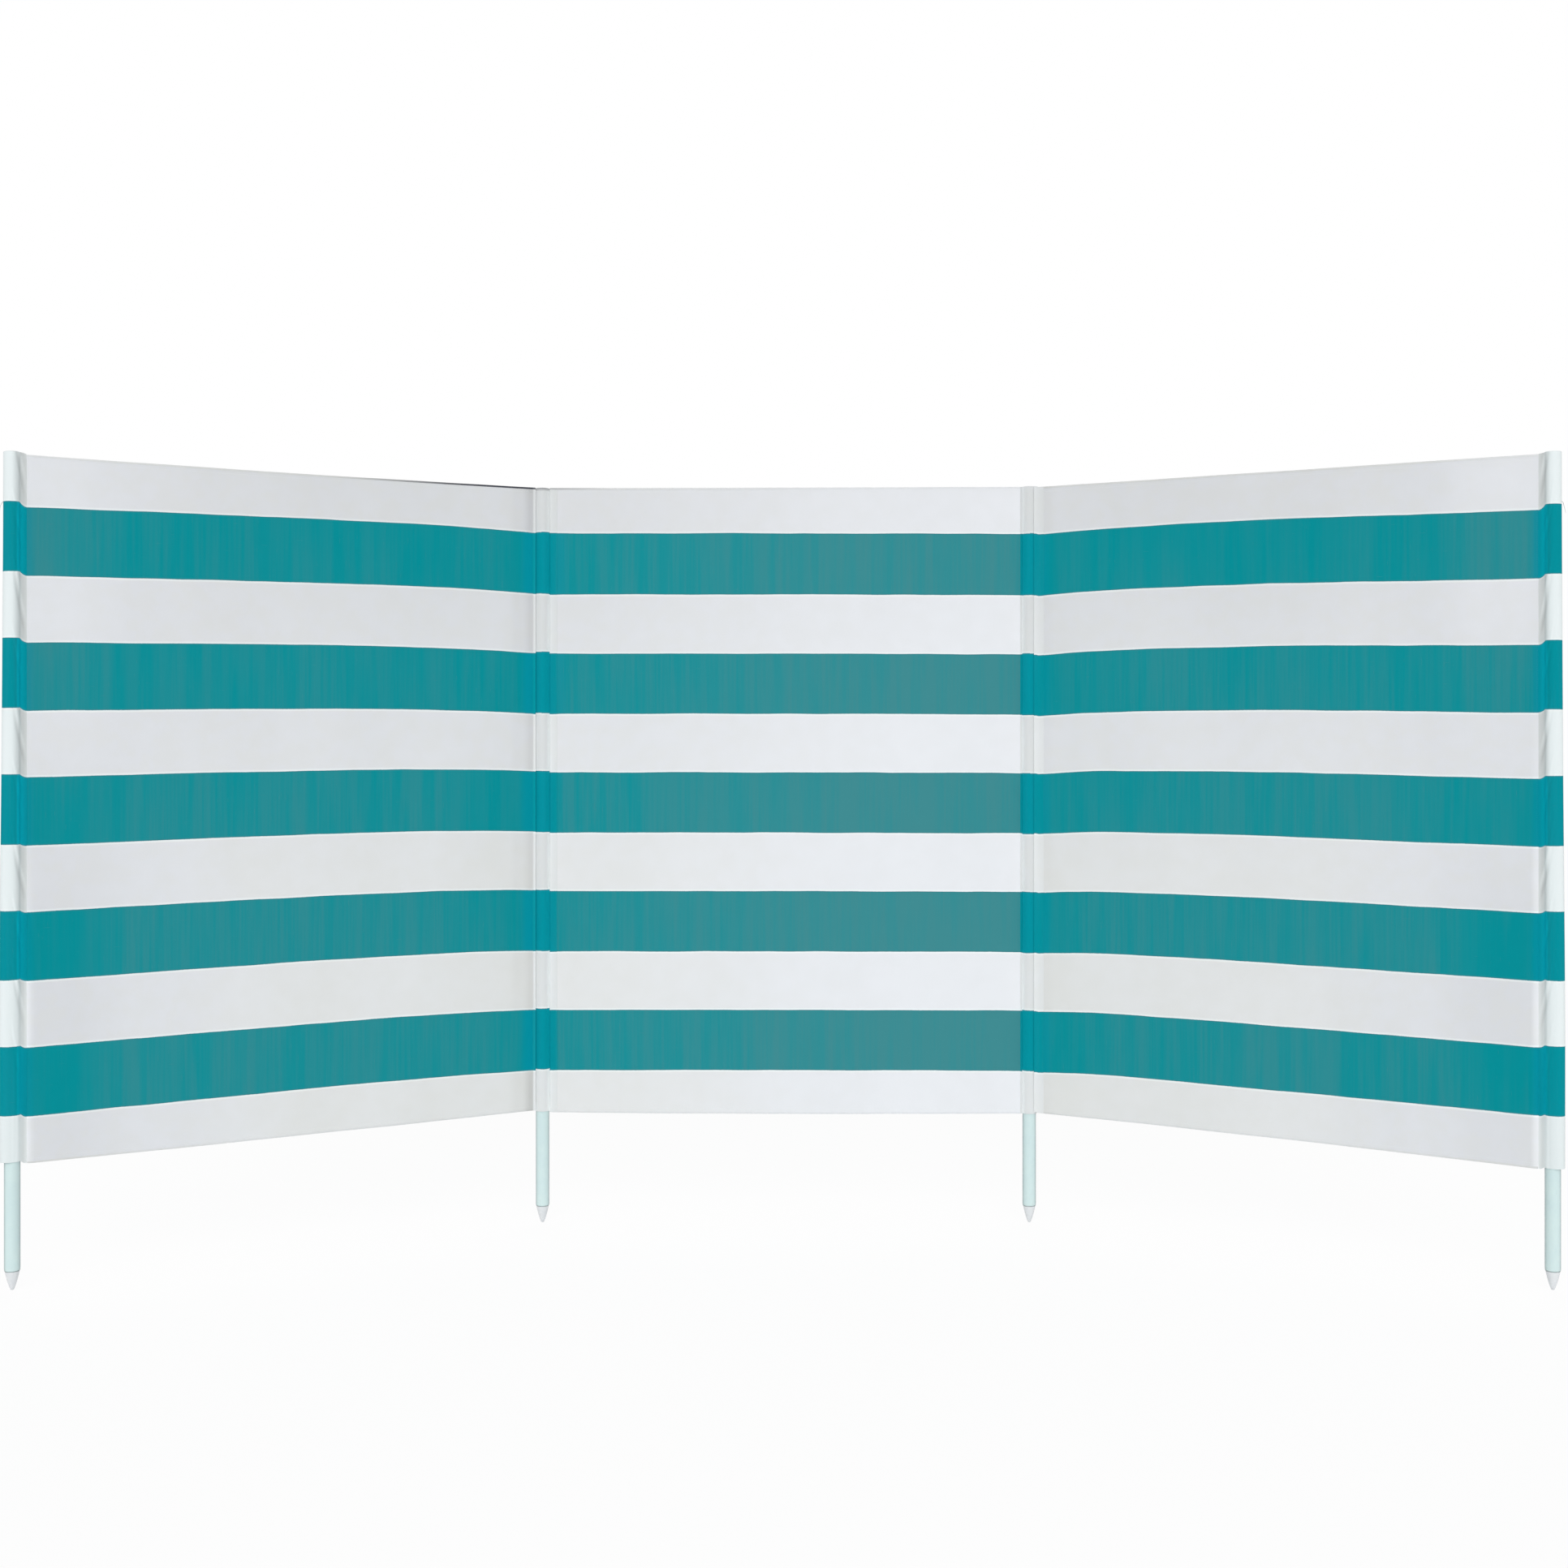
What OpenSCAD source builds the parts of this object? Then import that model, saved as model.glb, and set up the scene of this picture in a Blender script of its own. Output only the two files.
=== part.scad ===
// Beach windbreak: three bays of striped canvas on four tubular poles.
// The windbreak stands on the blunt tips of its four ground spikes, at z = 0.
// The origin is the tip of the left middle pole's spike. +X runs along the middle
// bay to the right, +Z is up, and the front of the canvas faces -Y.
// Each outer bay turns about the axis of the middle pole that it is sewn round.

/* [Bays] */
// Distance between the axes of neighbouring poles
bay_pitch = 914; // [600:1:1500]
// Angle by which each outer bay stands forward of the middle bay, degrees
wing_angle = 27.4; // [0:0.1:60]

/* [Poles] */
// Outer diameter of the steel tube
pole_d = 25; // [19:0.5:38]
// Wall of the steel tube
pole_wall = 0.7; // [0.6:0.1:2]
// Bare tube between the canvas and the ground spike
foot_h = 175; // [80:1:400]

/* [Ground spikes] */
// Height of the spike below the end of the tube
spike_h = 32; // [20:1:80]
// Diameter of the blunt tip
spike_tip_d = 4.6; // [3:0.1:8]
// How far the spike's shoulder stays inside the tube's outer face
spike_inset = 0.3; // [0.1:0.1:0.5]
// Plain band at the shoulder, above the taper
spike_band_h = 2; // [1:0.5:5]
// How full the taper is: 0 is a straight cone
spike_fullness = 0.35; // [0:0.05:0.8]
// Length of the shank pushed up into the tube
shank_h = 25; // [10:1:60]
// Clearance between the shank and the tube's bore
shank_gap = 0.1; // [0.05:0.05:0.2]

/* [Canvas] */
// Height of the canvas
canvas_h = 1170; // [600:1:1600]
// Thickness of one layer of canvas
canvas_t = 1; // [0.5:0.1:1.5]
// Width of the turned hem along the top and the bottom
hem_w = 10; // [6:1:25]
// Distance from a pocket to the end of a hem
hem_stop = 4; // [3:0.5:12]

/* [Pockets] */
// Clearance between a pole and the canvas pocket round it
pocket_gap = 0.3; // [0.2:0.1:1]
// Clearance between a middle pocket and the outer bay that turns round it
turning_gap = 0.3; // [0.2:0.1:1]
// Clearance at a sewn joint between a pocket and its own bay
sewn_gap = 0.1; // [0.05:0.05:0.2]
// End sleeve: distance from the pole's surface to the seam that closes the sleeve
sleeve_seam = 9.5; // [5:0.5:30]
// Middle pocket: width of the narrow sewn edge on its left side
pocket_edge_w = 3; // [2:0.5:8]
// Middle pocket: width of the lapped seam on its right side
pocket_lap_w = 13.5; // [6:0.5:30]

/* [Hidden] */
$fn = 96;
TAPER_STEPS = 8;
CUT = 1; // how far a cutting shape runs past the faces that it cuts

canvas_z = spike_h + foot_h;
pole_h = foot_h + canvas_h - canvas_t;
pole_r = pole_d / 2;
bore_r = pole_r - pole_wall;
pocket_inner_r = pole_r + pocket_gap;
pocket_r = pocket_inner_r + canvas_t;

// ---- placing: an outer bay is drawn as the right one, from its middle pole out along +X

module on_right_bay() {
    translate([bay_pitch, 0, 0]) rotate([0, 0, -wing_angle]) children();
}

module on_left_bay() {
    mirror([1, 0, 0]) rotate([0, 0, -wing_angle]) children();
}

module at_end_pole() {
    translate([bay_pitch, 0, 0]) children();
}

// ---- poles and spikes

// Steel tube, open at both ends, standing on the spike's shoulder
module pole() {
    color("#D3E4E3")
    translate([0, 0, spike_h])
    difference() {
        cylinder(r = pole_r, h = pole_h);
        translate([0, 0, -CUT]) cylinder(r = bore_r, h = pole_h + 2 * CUT);
    }
}

// Radius of the taper at the share s of its height, from tip (0) to shoulder (1)
function taper_r(s) = spike_tip_d / 2
    + (pole_r - spike_inset - spike_tip_d / 2) * (s + spike_fullness * s * (1 - s));

// Moulded plug: shank in the tube, shoulder on its rim, taper down to a blunt tip
module spike() {
    taper_h = spike_h - spike_band_h;
    shank_r = bore_r - shank_gap;
    color("#DEE0E2")
    rotate_extrude()
    polygon(concat(
        [[0, 0]],
        [for (i = [0:TAPER_STEPS]) [taper_r(i / TAPER_STEPS), taper_h * i / TAPER_STEPS]],
        [[taper_r(1), spike_h], [shank_r, spike_h]],
        [[shank_r, spike_h + shank_h], [0, spike_h + shank_h]]
    ));
}

// ---- pockets and sleeves: tubes of canvas, sewn shut over the top of the pole

module pocket_room() {
    translate([0, 0, -CUT]) cylinder(r = pocket_inner_r, h = canvas_h - canvas_t + CUT);
}

module mid_pocket() {
    color("#2E9699")
    translate([0, 0, canvas_z])
    difference() {
        cylinder(r = pocket_r, h = canvas_h);
        pocket_room();
    }
}

// The canvas goes round the end pole and comes back along its own front to the seam
module end_sleeve() {
    flap_w = pole_r + sleeve_seam;
    color("#2E9699")
    translate([0, 0, canvas_z])
    difference() {
        union() {
            cylinder(r = pocket_r, h = canvas_h);
            translate([-flap_w, -canvas_t * 3 / 2, 0]) cube([flap_w, canvas_t, canvas_h]);
        }
        pocket_room();
    }
}

// ---- canvas

// Room that a pocket at x needs in a bay's canvas, with a clearance round it
module pocket_cut(x, gap) {
    translate([x, 0, canvas_z - CUT]) cylinder(r = pocket_r + gap, h = canvas_h + 2 * CUT);
}

// One bay of canvas between two poles; inner_gap is the clearance at the pole on x = 0
module bay_canvas(inner_gap) {
    color("#2E9699")
    difference() {
        translate([0, -canvas_t / 2, canvas_z]) cube([bay_pitch, canvas_t, canvas_h]);
        pocket_cut(0, inner_gap);
        pocket_cut(bay_pitch, sewn_gap);
    }
}

// Strip of canvas sewn on the front of a bay, beside the middle pocket on x = 0
module seam_strip(width, gap) {
    color("#2E9699")
    difference() {
        translate([0, -canvas_t * 3 / 2, canvas_z])
            cube([pocket_r + width, canvas_t, canvas_h]);
        pocket_cut(0, gap);
    }
}

// Edge turned over to the back; z is the height of its lower side
module hem(z) {
    start = pocket_r + hem_stop;
    color("#F0F1F2")
    translate([start, canvas_t / 2, z]) cube([bay_pitch - 2 * start, canvas_t, hem_w]);
}

module top_hem() {
    hem(canvas_z + canvas_h - hem_w);
}

module bottom_hem() {
    hem(canvas_z);
}

// ---- the nodes

module left_end_pole() { on_left_bay() at_end_pole() pole(); }
module left_mid_pole() { pole(); }
module right_mid_pole() { at_end_pole() pole(); }
module right_end_pole() { on_right_bay() at_end_pole() pole(); }

module left_end_spike() { on_left_bay() at_end_pole() spike(); }
module left_mid_spike() { spike(); }
module right_mid_spike() { at_end_pole() spike(); }
module right_end_spike() { on_right_bay() at_end_pole() spike(); }

module left_bay_canvas() { on_left_bay() bay_canvas(turning_gap); }
module middle_bay_canvas() { bay_canvas(sewn_gap); }
module right_bay_canvas() { on_right_bay() bay_canvas(turning_gap); }

module left_end_sleeve() { on_left_bay() at_end_pole() end_sleeve(); }
module left_mid_pocket() { mid_pocket(); }
module right_mid_pocket() { at_end_pole() mid_pocket(); }
module right_end_sleeve() { on_right_bay() at_end_pole() end_sleeve(); }

module left_pocket_edge() { on_left_bay() seam_strip(pocket_edge_w, turning_gap); }
module left_pocket_lap() { seam_strip(pocket_lap_w, sewn_gap); }
module right_pocket_edge() { at_end_pole() mirror([1, 0, 0]) seam_strip(pocket_edge_w, sewn_gap); }
module right_pocket_lap() { on_right_bay() seam_strip(pocket_lap_w, turning_gap); }

module left_top_hem() { on_left_bay() top_hem(); }
module middle_top_hem() { top_hem(); }
module right_top_hem() { on_right_bay() top_hem(); }
module left_bottom_hem() { on_left_bay() bottom_hem(); }
module middle_bottom_hem() { bottom_hem(); }
module right_bottom_hem() { on_right_bay() bottom_hem(); }

left_end_pole();
left_mid_pole();
right_mid_pole();
right_end_pole();
left_end_spike();
left_mid_spike();
right_mid_spike();
right_end_spike();
left_bay_canvas();
middle_bay_canvas();
right_bay_canvas();
left_end_sleeve();
left_mid_pocket();
right_mid_pocket();
right_end_sleeve();
left_pocket_edge();
left_pocket_lap();
right_pocket_edge();
right_pocket_lap();
left_top_hem();
middle_top_hem();
right_top_hem();
left_bottom_hem();
middle_bottom_hem();
right_bottom_hem();
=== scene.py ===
"""Looks of the beach windbreak: striped canvas bays sewn round steel poles with moulded ground spikes.

Every cloth piece is a numpy surface over two parameters: a distance along the bay and a height up the cloth.
The cloth map (u, v) is the flat cloth in metres, so the woven stripes and the weave follow the surface.
"""

import math

import bmesh
import bpy
import numpy as np
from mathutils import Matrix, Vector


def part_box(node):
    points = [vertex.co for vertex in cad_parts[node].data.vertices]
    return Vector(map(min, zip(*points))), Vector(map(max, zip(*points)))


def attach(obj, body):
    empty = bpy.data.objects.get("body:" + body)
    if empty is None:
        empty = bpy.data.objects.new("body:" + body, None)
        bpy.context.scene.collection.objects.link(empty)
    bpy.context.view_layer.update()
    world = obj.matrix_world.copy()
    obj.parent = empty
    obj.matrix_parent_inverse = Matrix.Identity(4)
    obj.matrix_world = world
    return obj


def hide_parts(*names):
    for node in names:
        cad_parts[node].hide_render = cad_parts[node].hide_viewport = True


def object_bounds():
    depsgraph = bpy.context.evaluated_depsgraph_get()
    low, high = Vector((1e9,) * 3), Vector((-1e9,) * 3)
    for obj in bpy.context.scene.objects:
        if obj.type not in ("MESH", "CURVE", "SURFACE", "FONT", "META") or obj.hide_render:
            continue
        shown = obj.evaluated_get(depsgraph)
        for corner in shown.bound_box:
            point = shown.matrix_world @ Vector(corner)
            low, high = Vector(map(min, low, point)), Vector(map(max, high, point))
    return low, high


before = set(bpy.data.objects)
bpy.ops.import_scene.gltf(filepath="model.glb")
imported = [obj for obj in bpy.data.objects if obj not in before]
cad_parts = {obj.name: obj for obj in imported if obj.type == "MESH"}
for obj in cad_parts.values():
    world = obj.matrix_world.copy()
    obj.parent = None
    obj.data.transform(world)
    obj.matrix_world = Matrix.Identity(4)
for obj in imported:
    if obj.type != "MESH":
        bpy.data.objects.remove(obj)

CAD_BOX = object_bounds()
MM = 0.001


# ---- sizes taken from the frame

def axis_of(node):
    """Plan position of the axis of an upright CAD piece, which is the centre of its box."""
    low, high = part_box(node)
    return np.array([(low.x + high.x) / 2, (low.y + high.y) / 2])


def span_of(node, axis):
    """Size of a CAD piece's box along one axis, which is 0 for x and 2 for z."""
    low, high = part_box(node)
    return high[axis] - low[axis]


CLOTH_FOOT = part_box("middle_bay_canvas")[0].z
CLOTH_H = span_of("middle_bay_canvas", 2)
TUBE_FOOT, TUBE_HEAD = [corner.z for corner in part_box("left_mid_pole")]
SHANK_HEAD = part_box("left_mid_spike")[1].z
POLE_R = span_of("left_mid_pole", 0) / 2
POCKET_R = span_of("left_mid_pocket", 0) / 2
LAP_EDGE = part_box("left_pocket_lap")[1].x - axis_of("left_mid_pole")[0]
NARROW_EDGE = axis_of("right_mid_pole")[0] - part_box("right_pocket_edge")[0].x
PITCH = axis_of("right_mid_pole")[0] - axis_of("left_mid_pole")[0]
HEM_W = span_of("middle_top_hem", 2)

# ---- sizes of the tubes and the cloth work

TUBE_WALL = 0.7 * MM
CLOTH_T = 0.6 * MM          # thickness of one layer of canvas
STRIP_T = 0.5 * MM          # thickness of the sewn edge beside a middle pocket
HEM_T = 0.45 * MM           # thickness of a turned hem, which is pressed flat
TURNING = POCKET_R + 0.3 * MM  # start of an outer bay's cloth, clear of the pocket that it turns round
SEWN = POCKET_R - 0.1 * MM  # start of the middle bay's cloth, which is sewn to its pockets
SEAM_AT = POLE_R + 9.5 * MM  # distance of the end sleeve's seam from the pole's axis
WEB_STEP = 6 * MM           # spacing of the cloth grid
BAND_H = 113.2 * MM         # height of a teal stripe
BAND_PITCH = 223 * MM       # a teal stripe and the white one above it
BAND_FOOT = 82.7 * MM       # white cloth below the lowest teal stripe
BAND_TOP = CLOTH_H - BAND_FOOT  # height at which the highest teal stripe ends
EDGE_LIP = 5.2 * MM         # how far the soft lip beside a middle pocket reaches along the cloth
STITCH_L = 2.8 * MM
STITCH_PITCH = 3.7 * MM
THREAD_R = 0.28 * MM
WELD = 0.0001 * MM          # points nearer to each other than this become one


# ---- the bays' own axes

class Bay:
    """Axes of one bay: s runs from its near pole to its far pole, out is towards the front, z is up.

    start_u and way place the bay on the opened-out cloth. edge_top and edge_foot are how many mm the
    cloth's edges lie above their straight line at the near pole, in the middle and at the far pole.
    """

    def __init__(self, number, body, near, far, start_u, way, edge_top, edge_foot):
        self.number = number
        self.body = body
        self.near = axis_of(near)
        run = axis_of(far) - self.near
        self.length = float(np.hypot(*run))
        self.along = run / self.length
        front = np.array([self.along[1], -self.along[0]])
        self.front = front if front[1] < 0 else -front
        self.start_u = start_u
        self.way = way
        self.edge_top = np.array(edge_top) * MM
        self.edge_foot = np.array(edge_foot) * MM

    def world(self, s, out, z):
        """Points from distances along, out and up: near pole + s * along + out * front."""
        s, out, z = np.broadcast_arrays(s, out, z)
        plan = self.near + s[..., None] * self.along + out[..., None] * self.front
        return np.concatenate([plan, z[..., None]], axis=-1)

    def u(self, s):
        """Distance along the whole opened-out cloth, which is zero at the left middle pole."""
        return self.start_u + self.way * s


LEFT = Bay(0, "left_bay", "left_mid_pole", "left_end_pole", 0.0, -1, (1.2, -1.6, -0.4), (5.0, 0.5, -0.9))
MIDDLE = Bay(1, "middle_bay", "left_mid_pole", "right_mid_pole", 0.0, 1, (1.4, 1.8, 3.5), (0.2, -2.9, -2.4))
RIGHT = Bay(2, "right_bay", "right_mid_pole", "right_end_pole", PITCH, 1, (2.2, 1.4, 0.3), (0.3, -3.2, -10.3))
BAYS = {"left": LEFT, "middle": MIDDLE, "right": RIGHT}


# ---- how the cloth hangs

def smooth(low, high, x):
    """Smooth step: 0 below low, 1 above high, and 3t^2 - 2t^3 between."""
    t = np.clip((x - low) / (high - low), 0, 1)
    return t * t * (3 - 2 * t)


def bump(x, centre, width):
    """Bell curve of height 1 about a centre."""
    return np.exp(-((x - centre) / width) ** 2)


def drift(u, v, seed, long_u, long_v, waves=7):
    """Slow random waviness about -1 to 1: the mean of sine waves, each with its own heading and phase."""
    draw = np.random.default_rng(seed)
    total = np.zeros(np.broadcast(u, v).shape)
    for _ in range(waves):
        ku, kv = draw.uniform(-1, 1, 2)
        total += np.sin(2 * np.pi * (ku * u / long_u + kv * v / long_v) + draw.uniform(0, 2 * np.pi))
    return total / math.sqrt(waves)


def edge_line(three, t):
    """Parabola through three heights at t = 0, 0.5 and 1."""
    near, middle, far = three
    return near * (1 - t) * (1 - 2 * t) + middle * 4 * t * (1 - t) + far * t * (2 * t - 1)


def weft_bow(bay, t, w):
    """How far the stripes stand above level: an arch near the inner pole and a drop to the outer one."""
    if bay is MIDDLE:
        return (-4.3 + 0.9 * np.sin(np.pi * t) - 1.4 * t + 3.0 * smooth(0.75, 0.95, w)) * MM
    arch = 6.5 * np.sin(np.pi * np.clip(t, 0, 1) ** 0.62)
    full = 0.5 + 0.5 * smooth(0.0, 0.4, w)
    sag = bump(w, 0.69, 0.11) * bump(t, 0.05, 0.3)
    if bay is RIGHT:
        outer = 6.0 * (w - 0.3) * smooth(0.4, 1.0, t)
        tilt = 3.5 * t + outer + 0.9 * bump(t, 0.2, 0.2) * smooth(0.15, 0.4, w)
        pull = (4.3 - 1.5 * smooth(0.82, 0.93, w)) * bump(t, 0, 0.1)
        return (-3.2 - pull - 2.6 * sag - tilt + 0.85 * arch * full) * MM
    tilt = 3.3 * t + 0.7 * (1 - w) * t
    return (-2.0 - 2.0 * (1 - full) - 1.6 * bump(t, 0, 0.12) - 2.6 * sag - tilt + arch * full) * MM


def head_share(v):
    """How far a height lies past the highest stripe: 0 at its edge and 1 at the head of the cloth."""
    return np.clip((v - BAND_TOP) / (CLOTH_H - BAND_TOP), 0, 1)


def run_out(bow, v, head, foot):
    """A rise that is bow among the stripes, and from there runs evenly to head and to foot."""
    down = np.clip((BAND_FOOT - v) / BAND_FOOT, 0, 1)
    bow = bow + head_share(v) * (head - bow)
    return bow + down * (foot - bow)


def rise(bay, s, v):
    """Height of a point of the cloth above where flat cloth would have it.

    Among the stripes it is the bow of the weft, run out to the lines of the cloth's own edges.
    """
    t = s / bay.length
    bow = weft_bow(bay, t, v / CLOTH_H)
    return run_out(bow, v, edge_line(bay.edge_top, t), edge_line(bay.edge_foot, t))


def belly(bay, s, v):
    """How far the cloth stands out of its plane.

    It is half a sine wave each way, with soft random waves and a dip into the end sleeve's seam.
    """
    t, w = np.clip(s / bay.length, 0, 1), v / CLOTH_H
    ends = smooth(0, 0.12, t) * smooth(0, 0.08, 1 - t)
    deep = {LEFT: -3.5, MIDDLE: 2.0, RIGHT: -3.0}[bay] * np.sin(np.pi * t) * (0.55 + 0.45 * np.sin(np.pi * w))
    waves = 0.8 * drift(s, v, 11 + 7 * bay.number, 0.32, 0.9)
    fine = 0.22 * drift(s, v, 5 + 3 * bay.number, 0.06, 0.45)
    edges = smooth(0.06, 0, w) + smooth(0.94, 1, w)
    lip = 0.7 * drift(s, v * 0, 31 + bay.number, 0.16, 1.0) * edges
    dip = 0.0
    if bay is not MIDDLE:
        from_seam = bay.length - SEAM_AT - s
        dip = (0.3 + 1.9 * smooth(0.8, 0.1, w)) * smooth(9 * MM, 0, from_seam)
    return (deep + (waves + fine + lip) * ends - dip) * MM


def on_cloth(bay, s, v, lift=0.0):
    """World points on the hanging cloth, lifted off its middle towards the front."""
    return bay.world(s, belly(bay, s, v) + lift, CLOTH_FOOT + v + rise(bay, s, v))


# ---- meshes from grids

def unit(a):
    """Vectors scaled to length 1."""
    return a / np.maximum(np.linalg.norm(a, axis=-1, keepdims=True), 1e-12)


def grid_normals(grid, wrap):
    """Normals of a grid: the cross product of its two directions, and a mean at a closed end."""
    if wrap:
        along = np.roll(grid, -1, axis=1) - np.roll(grid, 1, axis=1)
    else:
        along = np.gradient(grid, axis=1)
    cross = np.cross(along, np.gradient(grid, axis=0))
    size = np.linalg.norm(cross, axis=-1)
    normals = unit(cross)
    for row, beside in ((0, 1), (-1, -2)):
        if size[row].max() < 1e-9:
            normals[row] = unit(normals[beside].mean(axis=0))
    return normals


def quads_of(numbers):
    """Four-sided faces between neighbouring points of a grid of point numbers."""
    corners = [numbers[:-1, :-1], numbers[:-1, 1:], numbers[1:, 1:], numbers[1:, :-1]]
    return np.stack(corners, axis=-1).reshape(-1, 4)


def closed(numbers):
    """A grid of point numbers whose first column is repeated as its last."""
    return np.concatenate([numbers, numbers[:, :1]], axis=1)


def circle(sides):
    """Even angles round a full turn."""
    return 2 * np.pi * np.arange(sides) / sides


def make_mesh(name, points, faces, maps, marks, weld=0.0, sharp=50):
    """An object from points, faces, a cloth map per face corner and named values per point."""
    mesh = bpy.data.meshes.new(name)
    mesh.from_pydata(points, [], faces)
    layer = mesh.uv_layers.new(name="cloth")
    layer.data.foreach_set("uv", np.asarray(maps, np.float32).ravel())
    for key, values in marks.items():
        attribute = mesh.attributes.new(key, "FLOAT", "POINT")
        attribute.data.foreach_set("value", np.asarray(values, np.float32).ravel())
    if weld:
        work = bmesh.new()
        work.from_mesh(mesh)
        bmesh.ops.remove_doubles(work, verts=work.verts, dist=weld)
        work.to_mesh(mesh)
        work.free()
    mesh.shade_smooth()
    mesh.set_sharp_from_angle(angle=math.radians(sharp))
    mesh.update()
    made = bpy.data.objects.new(name, mesh)
    bpy.context.scene.collection.objects.link(made)
    return made


def sheet(name, grid, cloth, marks, thickness=CLOTH_T, wrap=False, weld=0.0):
    """A sheet with thickness: the grid pushed half of it each way along its normals, joined round its edges.

    cloth holds the cloth map of each grid point, with one more column than the grid where it wraps round.
    marks gives each named value for the grid's points, as a number or an array.
    """
    rows, cols = grid.shape[:2]
    push = grid_normals(grid, wrap) * thickness / 2
    points = np.concatenate([(grid + push).reshape(-1, 3), (grid - push).reshape(-1, 3)])
    numbers = np.arange(rows * cols).reshape(rows, cols)
    spots = np.arange(cloth.shape[0] * cloth.shape[1]).reshape(cloth.shape[:2])
    if wrap:
        numbers = closed(numbers)
    under = numbers + rows * cols
    faces = [quads_of(numbers), quads_of(under)[:, ::-1]]
    face_spots = [quads_of(spots), quads_of(spots)[:, ::-1]]

    def rim(edge, edge_under, spot, flip):
        """Faces that join the two layers along one edge."""
        ring = np.stack([edge[:-1], edge[1:], edge_under[1:], edge_under[:-1]], axis=-1)
        ring_spots = np.stack([spot[:-1], spot[1:], spot[1:], spot[:-1]], axis=-1)
        faces.append(ring[:, ::-1] if flip else ring)
        face_spots.append(ring_spots[:, ::-1] if flip else ring_spots)

    rim(numbers[0], under[0], spots[0], True)
    rim(numbers[-1], under[-1], spots[-1], False)
    if not wrap:
        rim(numbers[:, 0], under[:, 0], spots[:, 0], False)
        rim(numbers[:, -1], under[:, -1], spots[:, -1], True)
    maps = cloth.reshape(-1, 2)[np.concatenate(face_spots).ravel()]
    both = {key: np.tile(np.broadcast_to(value, (rows, cols)).ravel(), 2) for key, value in marks.items()}
    return make_mesh(name, points, np.concatenate(faces), maps, both, weld)


def steps(low, high, spacing):
    """Even steps from low to high, no further apart than the spacing."""
    return np.linspace(low, high, max(2, int(math.ceil((high - low) / spacing)) + 1))


# ---- stitches and threads

def stitches(name, centres, run, off, cloth):
    """Stitches in one mesh: each is a short spindle of five sides, fat in the middle and dipping at its ends.

    centres, run and off are each stitch's place, its direction and the direction off the cloth.
    """
    sides = 5
    run, off = unit(run), unit(off - run * (off * run).sum(-1, keepdims=True))
    centres, run, off, across = (part[:, None, :] for part in (centres, run, off, np.cross(run, off)))
    turn = circle(sides)[:, None]
    ring = np.cos(turn) * across + np.sin(turn) * off
    stations = [(-0.5, 0.45, -0.9), (0.0, 1.0, 0.35), (0.5, 0.45, -0.9)]
    loops = [centres + share * STITCH_L * run + dip * THREAD_R * off + fat * THREAD_R * ring
             for share, fat, dip in stations]
    points = np.stack(loops, axis=1).reshape(-1, 3)
    first = np.arange(len(centres))[:, None, None] * sides * len(stations)
    side = np.arange(sides)
    belt = np.stack([side, (side + 1) % sides, (side + 1) % sides + sides, side + sides], axis=-1)
    belts = np.concatenate([belt, belt + sides])
    faces = (first + belts[None]).reshape(-1, 4)
    ends = np.concatenate([side[::-1][None], (side + 2 * sides)[None]])
    ends = (first + ends[None]).reshape(-1, sides)
    spots = np.repeat(cloth, sides * len(stations), axis=0)
    corners = np.concatenate([faces.ravel(), ends.ravel()])
    return make_mesh(name, points, faces.tolist() + ends.tolist(), spots[corners], {}, sharp=180)


def row_of(bay, s, v, lift):
    """Stitches along a line on the cloth: s or v is an array, and lift puts them on the front or the back."""
    s, v = np.broadcast_arrays(np.asarray(s, float), np.asarray(v, float))
    place = on_cloth(bay, s, v, lift)
    run = np.gradient(place, axis=0)
    off = np.tile([*(bay.front * np.sign(lift)), 0.0], (len(s), 1))
    return place, run, off, np.stack([bay.u(s), v], axis=-1)


def sew(name, rows):
    """One mesh of stitches from several rows."""
    return stitches(name, *[np.concatenate(part) for part in zip(*rows)])


def loose_thread(name, start, reach):
    """A loose end of thread: a round tube, thinner towards its tip, along a wavy curve that droops as t^2."""
    t = np.linspace(0, 1, 22)[:, None]
    line = start + reach * (t * [1, 1, 0] + t ** 2 * [0, 0, 1]) + np.sin(7 * t) * [0.4 * MM, 0.4 * MM, 0]
    run = unit(np.gradient(line, axis=0))
    side = unit(np.cross(run, [0.0, 0.0, 1.0]))
    up = np.cross(side, run)
    turn = circle(6)[None, :, None]
    ring = np.cos(turn) * side[:, None] + np.sin(turn) * up[:, None]
    thin = 0.35 * MM * (1 - 0.6 * t[:, :, None] ** 3)
    point = 0 * ring[:1]
    grid = np.concatenate([line[:1, None] + point, line[:, None] + thin * ring, line[-1:, None] + point])
    faces = quads_of(closed(np.arange(grid.shape[0] * 6).reshape(-1, 6)))
    return make_mesh(name, grid.reshape(-1, 3), faces, np.zeros((faces.size, 2)), {}, weld=WELD, sharp=180)


# ---- the cloth of each bay

def fade_of(bay, s, v):
    """How bleached the cloth is: little on the outer bays, and more and more across the middle bay."""
    t, w = s / bay.length, v / CLOTH_H
    patch = 0.07 * drift(s, v, 3 + bay.number, 0.18, 0.5)
    if bay is MIDDLE:
        return np.clip(0.22 + 0.62 * smooth(0, 0.8, t) + 0.12 * smooth(0.9, 0.3, w) + 0.6 * patch, 0, 1)
    hump = np.sin(np.pi * np.clip(t, 0, 1)) ** 0.6 * smooth(0.91, 0.77, t)
    inner = 0.11 + 0.25 * smooth(0.95, 0.4, w) * hump
    outer = smooth(0.78, 0.90, t) * (0.42 * smooth(0.45, 0.8, w) - 0.06)
    return np.clip(inner + outer + patch - 0.14 * bump(t, 0, 0.07), 0, 1)


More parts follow.
